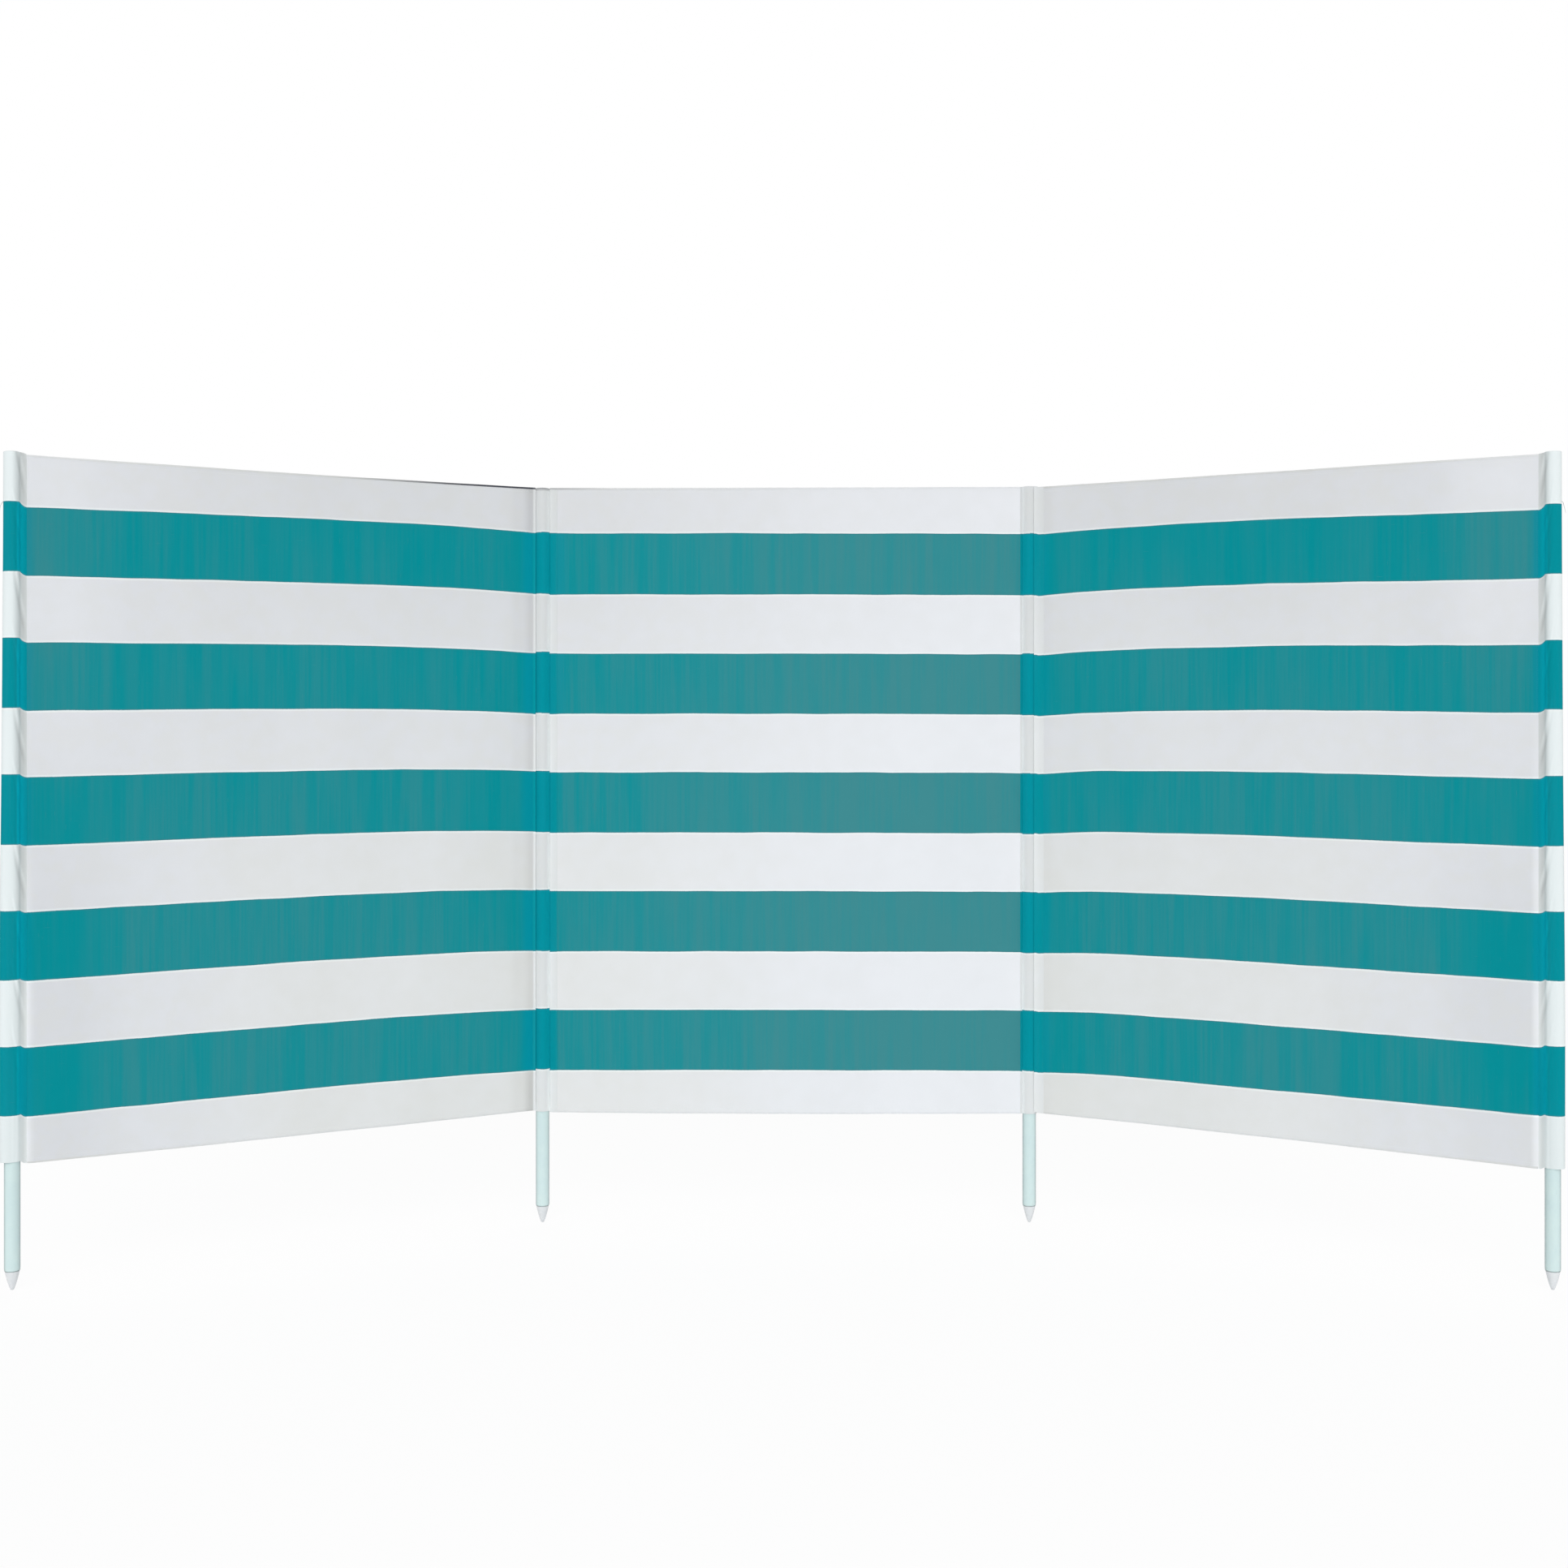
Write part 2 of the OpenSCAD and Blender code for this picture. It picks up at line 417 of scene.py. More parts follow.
def painted_shade_of(bay, s, v):
    """How much painted shade greys the white cloth: a little towards the head of the bay, and more beside a
    middle pole.
    """
    t, w = s / bay.length, v / CLOTH_H
    head = smooth(0.55, 1.0, w)
    if bay is LEFT:
        near = 0.50 + 0.18 * smooth(0.75, 1.0, w) + 0.32 * smooth(0.13, 0.03, w) - 0.08 * bump(w, 0.24, 0.1)
        beyond = 0.15 * smooth(66 * MM, 52 * MM, s) * smooth(32 * MM, 44 * MM, s)
        near = near * smooth(43 * MM, 23 * MM, s) + beyond
    if bay is RIGHT:
        near = 0.26 * smooth(58 * MM, 34 * MM, s)
    if bay is not MIDDLE:
        head = head * (1 - 0.9 * smooth(0.45, 0.95, t))
        return 0.20 * head + near + 0.09 * smooth(0.6, 0.92, t) * smooth(0.55, 0.35, w)
    return 0.26 * head * (1 - 0.75 * t)


def lift_of(bay, s, v):
    """How much the cloth catches the light: most in a strip beside each end sleeve's seam, low down."""
    if bay is MIDDLE:
        return 0 * s
    wide, top = (11 * MM, 0.8) if bay is RIGHT else (8.5 * MM, 0.5)
    strip = 0.19 * smooth(wide, 2 * MM, bay.length - SEAM_AT - s) * smooth(top, 0.22, v / CLOTH_H)
    return strip + (0.05 * smooth(60 * MM, 36 * MM, s) if bay is RIGHT else 0)


def fresh_of(bay, s, v):
    """How much of its first colour the teal keeps: most beside the poles, where the cloth is doubled."""
    if bay is MIDDLE:
        return 0.5 * smooth(56 * MM, 32 * MM, s) * smooth(0.3, 0.85, v / CLOTH_H)
    near = 0.95 * (0.5 * smooth(46 * MM, 34 * MM, s) if bay is RIGHT else smooth(48 * MM, 30 * MM, s))
    return near + (0.9 if bay is RIGHT else 0.5) * smooth(15 * MM, 2 * MM, bay.length - SEAM_AT - s)


def cool_of(bay, s, v):
    """How blue the white cloth is: most along the head and towards the right of the middle bay."""
    w = v / CLOTH_H
    across = smooth(0.2, 0.8, s / bay.length) if bay is MIDDLE else smooth(0.5, 0.8, s / bay.length)
    return np.maximum(0.8 * smooth(0.3, 0.62, w), across)


CLOTH_MARKS = {"fade": fade_of, "painted_shade": painted_shade_of, "lift": lift_of, "fresh": fresh_of, "cool": cool_of}


def bay_cloth(side, start, stop):
    """The bay's canvas: a grid of even steps along the bay and up the cloth."""
    bay = BAYS[side]
    s, v = np.meshgrid(steps(start, stop, WEB_STEP), steps(0, CLOTH_H, WEB_STEP))
    marks = {key: mark_of(bay, s, v) for key, mark_of in CLOTH_MARKS.items()}
    made = sheet(f"{side}_bay_cloth", on_cloth(bay, s, v), np.stack([bay.u(s), v], axis=-1), marks)
    return finish_piece(made, bay.body, canvas, "striped_canvas", f"{side}_bay_canvas")


def finish_piece(made, body, material, slot, *nodes):
    """Gives a piece its material and its body, and hides the CAD nodes that it stands for. slot is not used.
    """
    made.data.materials.append(material)
    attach(made, body)
    if nodes:
        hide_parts(*nodes)
    return made


# ---- pockets and sleeves

def pocket_rise(v, middle, bow, tilt, head, foot):
    """Height of a pocket's cloth above flat, run out to its head and its foot.

    Among the stripes it is middle + bow * x^2 - tilt * x, with x from -1 at the foot to 1 at the head.
    """
    x = 2 * v / CLOTH_H - 1
    return run_out(middle + bow * x ** 2 - tilt * x, v, head, foot)


def mid_pocket(side, lean):
    """The canvas tube on a middle pole, closed by a low cap.

    Its radius is the pocket's, slackened by slow waves; the cap's rows shrink to the axis as a cosine.
    lean holds the middle, the bow, the tilt, the head and the foot of its stripes' rise, in mm.
    """
    x, y = axis_of(f"{side}_mid_pole")
    around = np.linspace(0, 2 * np.pi, 64, endpoint=False)
    wall = steps(0, CLOTH_H, WEB_STEP)
    theta, v = np.meshgrid(around, wall)
    slack = 0.08 * MM * drift(theta / (2 * np.pi), v, 41 if side == "left" else 42, 0.5, 0.4)
    foot_turn = 0.25 * MM * smooth(12 * MM, 8 * MM, v)
    radius = POCKET_R - 0.35 * MM + slack + foot_turn
    cap_h = 1.0 * MM
    z = CLOTH_FOOT + v + pocket_rise(v, *(np.array(lean) * MM)) - cap_h * smooth(0.98, 1.0, v / CLOTH_H)
    cap = np.linspace(0, 1, 8)[1:, None]
    cap_r = radius[-1] * np.cos(cap * np.pi / 2) ** 0.8
    cap_z = z[-1] + cap_h * np.sin(cap * np.pi / 2)
    radius, z = np.concatenate([radius, cap_r]), np.concatenate([z, cap_z])
    grid = np.stack([x + radius * np.sin(around), y - radius * np.cos(around), z], axis=-1)
    u = x + POCKET_R * np.append(around, 2 * np.pi)
    height = np.append(wall, CLOTH_H + cap[:, 0] * POCKET_R)
    cloth = np.stack(np.meshgrid(u, height), axis=-1)
    up = np.minimum(height, CLOTH_H)[:, None] / CLOTH_H
    # Painted light on the pocket's flanks, which lie in shade beside the bays, and painted shade growing
    # towards its head.
    flanks = np.abs(np.sin(around)) ** 5 * 0.5
    # A thin dark line round the head of the left pocket.
    dark_edge = 0.6 * smooth(0.9982, 0.9995, up) if side == "left" else 0.0
    marks = {"fresh": 0.6, "cool": 0.45, "mint": 0.22, "painted_teal_light": 0.05 + 1.5 * flanks, "lift": flanks,
             "painted_shade": 0.08 + 0.14 * smooth(0.05, 0.4, up) + 0.16 * smooth(0.5, 1.0, up),
             "spread": 0.8 * MM, "dark_edge": dark_edge}
    made = sheet(f"{side}_pocket_cloth", grid, cloth, marks, wrap=True, weld=WELD)
    return finish_piece(made, "middle_bay", canvas, "striped_canvas", f"{side}_mid_pocket")


def flap_strip(node, bay, pole_side, free, height):
    """A seam's edge sewn on the front of a bay beside a middle pocket.

    It starts at pole_side, where it stands height above the bay's cloth against the round of the pocket,
    and falls along a soft curve, height * (1 - x)^1.7, to lie on the cloth at its free edge.
    Both places are distances from the bay's near pole.
    """
    x = np.linspace(0, 1, 13)
    dark_edge_rows = np.array([3.6, 1.9]) * MM
    rows = np.sort(np.append(steps(0, CLOTH_H, WEB_STEP), CLOTH_H - dark_edge_rows))
    x, v = np.meshgrid(x if free > pole_side else x[::-1], rows)
    s = pole_side + (free - pole_side) * x
    lift = CLOTH_T * (0.5 + 0.6 * smooth(1, 0.93, x)) + height * (1 - x) ** 1.7
    z = CLOTH_FOOT + v + rise(bay, s, v) + (1.6 * MM * smooth(0.5, 0.1, x) if bay is RIGHT else 0)
    # Each strip's painted shade, the share of first teal colour that it keeps, and its painted highlight.
    grey, kept, catch = {LEFT: (0.16, 0.5, 0.14), MIDDLE: (0.10, 0.6, 0.06), RIGHT: (0.10, 0.5, 0.08)}[bay]
    # A thin dark line along the head of the strips beside the left middle pole.
    edge_darkening = {"left_pocket_edge": 0.9, "left_pocket_lap": 0.35}.get(node, 0.0)
    marks = {"fade": 0.04, "fresh": kept * (1 - 0.5 * x), "cool": 0.45, "mint": 0.22,
             "painted_teal_light": 0.2 if bay is LEFT else 0.0, "spread": 0.3 * MM, "lift": catch * (1 - x) ** 2,
             "painted_shade": grey + 0.30 * smooth(0.55, 1.0, v / CLOTH_H),
             "dark_edge": edge_darkening * smooth(*dark_edge_rows, CLOTH_H - v)}
    grid = bay.world(s, belly(bay, s, v) + lift, z)
    made = sheet(node + "_cloth", grid, np.stack([bay.u(s), v], axis=-1), marks, thickness=STRIP_T)
    return finish_piece(made, bay.body, canvas, "striped_canvas", node)


def sleeve_radius(theta, w, wide):
    """Distance of the sleeve from the pole's axis, by angle from the outward side.

    It is the pole's radius plus slack, flared outwards towards the foot; beyond the angle where
    a straight line to the seam would touch the pole, it is that line: radius / cos(angle past the touch).
    """
    snug = POLE_R + 1.0 * MM
    flare = wide * smooth(1.0, 0.05, w) * np.clip(np.cos(theta), 0, 1) ** 1.5
    radius = snug + flare
    touch = np.pi - np.arccos(snug / SEAM_AT)
    past = np.clip(np.abs(theta) - touch, 0, None)
    return radius / np.cos(past), np.clip(past / (np.pi - touch), 0, 1)


def sleeve_marks(bay, w, slope, q, crease, streak):
    """Cloth values of a sleeve, mostly painted light and shade: shade all over and deepest in the hollow by
    its seam, broken by creases and streaks, with lighter, bluer teal and painted highlights there.
    """
    low = smooth(0.32, 0.1, w)
    start = (0.16 if bay is LEFT else 0.36) - 0.15 * low
    hollow = smooth(start, start + 0.40, slope)
    shut = 1 - 0.8 * smooth(0.82, 0.97, slope)
    broken = 0.56 + 0.44 * crease - 0.50 * streak
    fold = 0.44 if bay is LEFT else 0.48
    painted_teal_light = smooth(fold, fold + 0.18, slope) * (1 - 0.45 * smooth(0.65, 0.95, slope)) * (1 - 0.15 * low)
    shade = (0.12 + 0.14 * smooth(0.2, 0.0, w)) * smooth(0.6, 0.2, slope)
    return {"fade": np.full_like(w, 0.04), "fresh": 0.4 + 0.6 * painted_teal_light, "painted_teal_light": painted_teal_light,
            "mint": 1 - 0.65 * smooth(0.35, 0.95, slope), "spread": 0.8 * MM * (1 - q),
            "painted_fold_shade": hollow * shut * broken * (1 - 0.75 * smooth(0.38, 0.03, w)),
            "painted_shade": shade + 0.25 * low * bump(slope, 0.38, 0.1),
            "lift": 0.03 * hollow + (0.08 * hollow + 0.10 * smooth(0.8, 0.95, slope)) * smooth(0.6, 0.1, w)}


def end_sleeve(side):
    """The canvas wrapped round an end pole: behind it, round its outside, over its front and to the seam.

    theta is the angle round the pole, and slope runs from 0 on the pole's front to 1 at the seam. A crease
    and the streak beside it come once for every stripe. The cap's rows shrink to the axis as a cosine.
    """
    bay = BAYS[side]
    across = np.linspace(-np.pi, np.pi, 132)
    wall = steps(0, CLOTH_H, WEB_STEP)
    theta, v = np.meshgrid(across, wall)
    w = v / CLOTH_H
    turn = abs(math.atan2(bay.along[1], abs(bay.along[0])))
    radius, q = sleeve_radius(theta, w, (6.2 if bay is LEFT else 4.8) * MM)
    slope = np.clip((-radius * np.cos(theta + turn) - 1.5 * MM) / (18 * MM), 0, 1) * (theta > 0)
    phase = v / (BAND_PITCH / 2) + 1.15 * slope + 0.06 * drift(v, v, 17, 0.3, 0.3)
    past_crease = np.mod(phase + 0.46, 1.0) - 0.5
    crease = bump(past_crease, 0, 0.09) * smooth(0.05, 0.25, w)
    streak = bump(past_crease, 0.22, 0.08) * smooth(0.05, 0.25, w)
    valley = (0.1 + 1.3 * smooth(0.05, 0.3, w)) * MM * np.sin(np.pi * q) ** 2
    soft = 0.3 * MM * drift(theta * 0.1, v, 23, 0.25, 0.35) * (1 - q)
    ridge = (0.3 + 0.5 * streak - 0.6 * crease) * MM * np.sin(np.pi * slope) ** 1.3
    radius = np.maximum(radius - valley + ridge + soft, POLE_R + 0.5 * MM)
    end_s = bay.length - SEAM_AT
    at_seam = np.full_like(v, end_s)
    s = bay.length + radius * np.cos(theta)
    out = radius * np.sin(theta) + belly(bay, at_seam, v) * q
    lag = 2.1 * bump(w, 0.45, 0.17) - (1.8 * smooth(0.15, 0.06, w) if bay is LEFT else 0)
    drawn = (4.7 + 2.5 * w - lag) * MM * smooth(1.0, 0.25, q)
    up = head_share(v)
    drawn = drawn * (1 - up) + up * 2.0 * MM * smooth(1, 0.2, q)
    z = CLOTH_FOOT + v + rise(bay, at_seam, v) + drawn
    line = np.cumsum(np.append(0, np.hypot(np.diff(s[0]), np.diff(out[0]))))
    cap = np.linspace(0, 1, 9)[1:, None]
    shrink = np.cos(cap * np.pi / 2) ** 0.75
    peak = z[-1].max() + (2.1 if bay is LEFT else 0.1) * MM
    cap_z = z[-1] + (peak - z[-1]) * np.sin(cap * np.pi / 2)
    s = np.concatenate([s, bay.length + (s[-1] - bay.length) * shrink])
    out = np.concatenate([out, out[-1] * shrink])
    grid = bay.world(s, out, np.concatenate([z, cap_z]))
    height = np.append(wall, CLOTH_H + cap[:, 0] * POLE_R)
    cloth = np.stack(np.meshgrid(bay.u(end_s + line), height), axis=-1)
    marks = {key: np.concatenate([values, np.repeat(values[-1:], len(cap), axis=0)])
             for key, values in sleeve_marks(bay, w, slope, q, crease, streak).items()}
    made = sheet(f"{side}_end_sleeve_cloth", grid, cloth, marks, weld=WELD)
    return finish_piece(made, bay.body, canvas, "striped_canvas", f"{side}_end_sleeve")


def hem(side, edge):
    """The turned edge: a profile that starts just below the edge, rolls over it and runs down the back.

    The roll is a half circle of the cloth's own thickness, and the tail is flat.
    """
    bay, top, node = BAYS[side], edge == "top", f"{side}_{edge}_hem"
    start = POCKET_R + 1 * MM
    stop = bay.length - (start if bay is MIDDLE else SEAM_AT + 1 * MM)
    roll = np.linspace(0, np.pi, 7)
    tail = np.linspace(0, HEM_W, 5)[1:]
    rolled = CLOTH_T * (-0.2 + 0.95 * np.cos(roll))
    lift = np.concatenate([[0.65 * CLOTH_T], rolled, np.full(len(tail), -1.15 * CLOTH_T)])
    height = np.concatenate([[-2.7 * MM], 0.55 * CLOTH_T * np.sin(roll), -tail])
    s, row = np.meshgrid(steps(start, stop, WEB_STEP), np.arange(len(lift)))
    v = CLOTH_H + height[row] if top else -height[row]
    at = np.clip(v, 0, CLOTH_H)
    grid = bay.world(s, belly(bay, s, at) + lift[row], CLOTH_FOOT + v + rise(bay, s, at))
    # A thin dark line along the head of the cloth beside the left middle pole.
    dark_edge = 0.0
    if top and bay is not RIGHT:
        dark_edge = smooth(0.44, 0.10, s) if bay is LEFT else 0.3 * smooth(0.15, 0.02, s)
    marks = {"fade": fade_of(bay, s, at), "painted_shade": painted_shade_of(bay, s, at),
             "dark_edge": dark_edge * smooth(4 * MM, 2.4 * MM, CLOTH_H - at)}
    made = sheet(node + "_cloth", grid, np.stack([bay.u(s), v], axis=-1), marks, thickness=HEM_T)
    return finish_piece(made, bay.body, tape, "white_canvas", node)


# ---- materials

def dye(code):
    """Linear colour from a web colour code."""
    parts = [int(code[i:i + 2], 16) / 255 for i in (1, 3, 5)]
    return [c / 12.92 if c <= 0.04045 else ((c + 0.055) / 1.055) ** 2.4 for c in parts] + [1.0]


class Bench:
    """Lays nodes in one tree. An input takes a number, a colour or another node's output."""

    def __init__(self, tree):
        self.tree = tree

    def feed(self, socket, value):
        if isinstance(value, bpy.types.NodeSocket):
            self.tree.links.new(value, socket)
        else:
            socket.default_value = value

    def node(self, kind, inputs=None, **settings):
        made = self.tree.nodes.new("ShaderNode" + kind)
        for key, value in settings.items():
            setattr(made, key, value)
        for key, value in (inputs or {}).items():
            self.feed(made.inputs[key], value)
        return made

    def math(self, operation, *values, clamp=False):
        made = self.node("Math", dict(enumerate(values)), operation=operation, use_clamp=clamp)
        return made.outputs[0]

    def add(self, a, b, clamp=False):
        return self.math("ADD", a, b, clamp=clamp)

    def less(self, a, b):
        return self.math("SUBTRACT", a, b)

    def times(self, a, b):
        return self.math("MULTIPLY", a, b)

    def swing(self, value, size):
        """A value that varies about a half, made one that varies about zero and is size from end to end."""
        return self.times(self.less(value, 0.5), size)

    def ridge(self, value, start, full, ease, stop):
        """1 from full to ease, falling off to 0 at start and at stop."""
        return self.times(self.between(value, start, full), self.between(value, ease, stop, 1.0, 0.0))

    def between(self, value, low, high, to_low=0.0, to_high=1.0):
        made = self.node("MapRange", {"Value": value, "From Min": low, "From Max": high,
                                      "To Min": to_low, "To Max": to_high}, interpolation_type="SMOOTHSTEP")
        return made.outputs[0]

    def blend(self, factor, a, b, kind="MIX"):
        made = self.node("Mix", {0: factor, 6: a, 7: b}, data_type="RGBA", blend_type=kind)
        return made.outputs[2]

    def tint(self, colour, amount):
        """The colour made lighter or darker by a factor."""
        grey = self.node("CombineXYZ", {0: amount, 1: amount, 2: amount}).outputs[0]
        return self.blend(1.0, colour, grey, "MULTIPLY")

    def stretch(self, vector, x, y, z=1.0):
        return self.node("VectorMath", {0: vector, 1: (x, y, z)}, operation="MULTIPLY").outputs[0]

    def noise(self, vector, scale, detail=2.0, roughness=0.5):
        return self.node("TexNoise", {"Vector": vector, "Scale": scale, "Detail": detail,
                                      "Roughness": roughness}).outputs[0]

    def mark(self, name):
        return self.node("Attribute", attribute_name=name).outputs["Fac"]

    def cloth_map(self):
        return self.node("UVMap", uv_map="cloth").outputs[0]

    def place(self):
        return self.node("TexCoord").outputs["Object"]

    def seen(self):
        """1 for what the camera sees, in gloss and glass too, and 0 for light on its way to a surface."""
        rays = self.node("LightPath").outputs
        reflected = self.math("MAXIMUM", rays["Is Glossy Ray"], rays["Is Transmission Ray"])
        return self.math("MAXIMUM", rays["Is Camera Ray"], reflected)

    def relief(self, shader, strength, distance, height):
        """Feeds a shader's normal with a height."""
        made = self.node("Bump", {"Strength": strength, "Distance": distance, "Height": height})
        self.feed(shader["Normal"], made.outputs[0])


def new_group(name, inputs, outputs):
    """An empty node group and a bench to fill it.

    inputs gives each input's default number, or None for a vector, and outputs names the float outputs.
    """
    group = bpy.data.node_groups.new(name, "ShaderNodeTree")
    for socket, default in inputs.items():
        kind = "NodeSocketVector" if default is None else "NodeSocketFloat"
        made = group.interface.new_socket(socket, in_out="INPUT", socket_type=kind)
        if default is not None:
            made.default_value = default
    for socket in outputs:
        group.interface.new_socket(socket, in_out="OUTPUT", socket_type="NodeSocketFloat")
    start, stop = group.nodes.new("NodeGroupInput"), group.nodes.new("NodeGroupOutput")
    return group, Bench(group), start.outputs, stop.inputs


def weave_group():
    """Plain weave: threads over and under each other on a chessboard of thread crossings.

    Where the warp is on top the height is the warp thread's round profile, |sin| across it, and
    elsewhere the weft's; both dip towards the next crossing.
    """
    group, bench, given, result = new_group(
        "plain_weave", {"Cloth": None, "Thread": 0.8 * MM}, ("Height", "Shade"))
    split = bench.node("SeparateXYZ", {0: given["Cloth"]}).outputs
    waver = bench.swing(bench.noise(given["Cloth"], 90, 1.0), 1.2)
    across = bench.add(bench.math("DIVIDE", split[0], given["Thread"]), waver)
    up = bench.add(bench.math("DIVIDE", split[1], given["Thread"]), waver)
    wave_u = bench.math("SINE", bench.times(across, math.pi))
    wave_v = bench.math("SINE", bench.times(up, math.pi))
    warp_on_top = bench.math("GREATER_THAN", bench.times(wave_u, wave_v), 0.0)
    tall_u, tall_v = bench.math("ABSOLUTE", wave_u), bench.math("ABSOLUTE", wave_v)
    warp = bench.times(tall_u, bench.math("POWER", tall_v, 0.35))
    weft = bench.times(tall_v, bench.math("POWER", tall_u, 0.35))
    height = bench.add(bench.times(warp, warp_on_top), bench.times(weft, bench.less(1.0, warp_on_top)))
    bench.feed(result["Height"], height)
    bench.feed(result["Shade"], bench.add(bench.times(height, 0.6), bench.times(warp_on_top, 0.4)))
    return group


def yarn_group():
    """Yarn that isn't even: long streaks along the warp, thick slubs, and mottling."""
    group, bench, given, result = new_group("uneven_yarn", {"Cloth": None}, ("Streak", "Slub", "Mottle"))
    cloth = given["Cloth"]
    broad = bench.noise(bench.stretch(cloth, 42, 2.6), 1.0, 2.0)
    narrow = bench.noise(bench.stretch(cloth, 210, 5.5), 1.0, 2.0)
    streak = bench.add(bench.times(broad, 0.62), bench.times(narrow, 0.38))
    bench.feed(result["Streak"], bench.between(streak, 0.34, 0.66))
    warp_slub = bench.between(bench.noise(bench.stretch(cloth, 520, 46), 1.0, 1.0), 0.70, 0.78)
    weft_slub = bench.between(bench.noise(bench.stretch(cloth, 46, 560), 1.0, 1.0), 0.72, 0.80)
    bench.feed(result["Slub"], bench.math("MAXIMUM", warp_slub, weft_slub))
    bench.feed(result["Mottle"], bench.between(bench.noise(cloth, 26, 3.0, 0.6), 0.3, 0.7))
    return group


def stripe_group():
    """Woven stripes by height up the cloth.

    depth is how far inside the nearest teal stripe a point lies: half the stripe's height, plus spread,
    less the distance to the stripe's middle line. Teal is where depth is above zero, with a darker
    selvedge line just inside and a paler one just outside.
    """
    group, bench, given, result = new_group(
        "woven_stripes", {"Cloth": None, "Spread": 0.0}, ("Teal", "Dark Line", "Pale Line"))
    cloth = given["Cloth"]
    split = bench.node("SeparateXYZ", {0: cloth}).outputs
    slow = bench.swing(bench.noise(bench.stretch(cloth, 9, 5), 1.0, 2.0), 3.2 * MM)
    quick = bench.swing(bench.noise(bench.stretch(cloth, 700, 90), 1.0, 0.0), 0.5 * MM)
    height = bench.add(split[1], bench.add(slow, quick))
    from_line = bench.less(height, BAND_FOOT + BAND_H / 2 - BAND_PITCH / 2)
    within = bench.less(bench.math("FLOORED_MODULO", from_line, BAND_PITCH), BAND_PITCH / 2)
    depth = bench.less(bench.add(given["Spread"], BAND_H / 2), bench.math("ABSOLUTE", within))
    bench.feed(result["Teal"], bench.between(depth, -0.35 * MM, 0.35 * MM))
    bench.feed(result["Dark Line"], bench.ridge(depth, 0.0, 0.6 * MM, 1.4 * MM, 3.0 * MM))
    bench.feed(result["Pale Line"], bench.ridge(depth, -4.5 * MM, -2.0 * MM, -0.8 * MM, 0.0))
    return group


def scuff_group():
    """Scuffs and handling marks on a hard finish: fine scratches where a slow mask lets them through."""
    group, bench, given, result = new_group("scuffs", {"Place": None}, ("Scuff", "Haze"))
    place = given["Place"]
    fine = bench.noise(bench.stretch(place, 900, 900, 60), 1.0, 2.0, 0.6)
    where = bench.between(bench.noise(place, 14, 3.0, 0.6), 0.48, 0.72)
    bench.feed(result["Scuff"], bench.times(bench.between(fine, 0.6, 0.75), where))
    bench.feed(result["Haze"], bench.between(bench.noise(place, 30, 4.0, 0.6), 0.3, 0.7))
    return group


def use_group(bench, group, **inputs):
    """Places a node group and feeds it."""
    made = bench.tree.nodes.new("ShaderNodeGroup")
    made.node_tree = group
    for key, value in inputs.items():
        bench.feed(made.inputs[key], value)
    return made.outputs


def bare_bench(owner):
    """A bench on the emptied node tree of a material or a world."""
    owner.use_nodes = True
    owner.node_tree.nodes.clear()
    return Bench(owner.node_tree)


def new_material(name, roughness, sheen=0.0, coat=0.0, coat_roughness=0.1, specular=0.5):
    """A material with a Principled shader whose constant values sit on its own sockets."""
    made = bpy.data.materials.new(name)
    bench = bare_bench(made)
    shader = bench.node("BsdfPrincipled", {
        "Roughness": roughness, "Sheen Weight": sheen, "Sheen Roughness": 0.6,
        "Coat Weight": coat, "Coat Roughness": coat_roughness, "Specular IOR Level": specular})
    bench.node("OutputMaterial", {"Surface": shader.outputs[0]})
    return made, bench, shader.inputs


TEAL_DEEP, TEAL_PALE, TEAL_FRESH, TEAL_LINE = dye("#058F98"), dye("#408B91"), dye("#0191A3"), dye("#3C7A82")
WHITE_PLAIN, WHITE_COOL, WHITE_PALE = dye("#E0E1DF"), dye("#DEE0E4"), dye("#EBEDF1")
# The last colour darkens a thin line along the head of the cloth beside the left middle pole.
WHITE_MINT, WHITE_LINE, DARK_EDGE_COLOUR = dye("#ECF4F5"), dye("#F6FAFA"), dye("#3A3C46")
PAINTED_SHADE_DEPTH = -0.28             # how much darker a white is painted where the cloth is marked with painted shade


def woven_finish(bench, shader, woven, uneven):
    """Roughness that follows the mottling, with the weave and the slubs in relief."""
    bench.feed(shader["Roughness"], bench.between(uneven["Mottle"], 0.0, 1.0, 0.80, 0.92))
    bench.relief(shader, 0.55, 0.16 * MM, bench.add(woven["Height"], bench.times(uneven["Slub"], 0.8)))


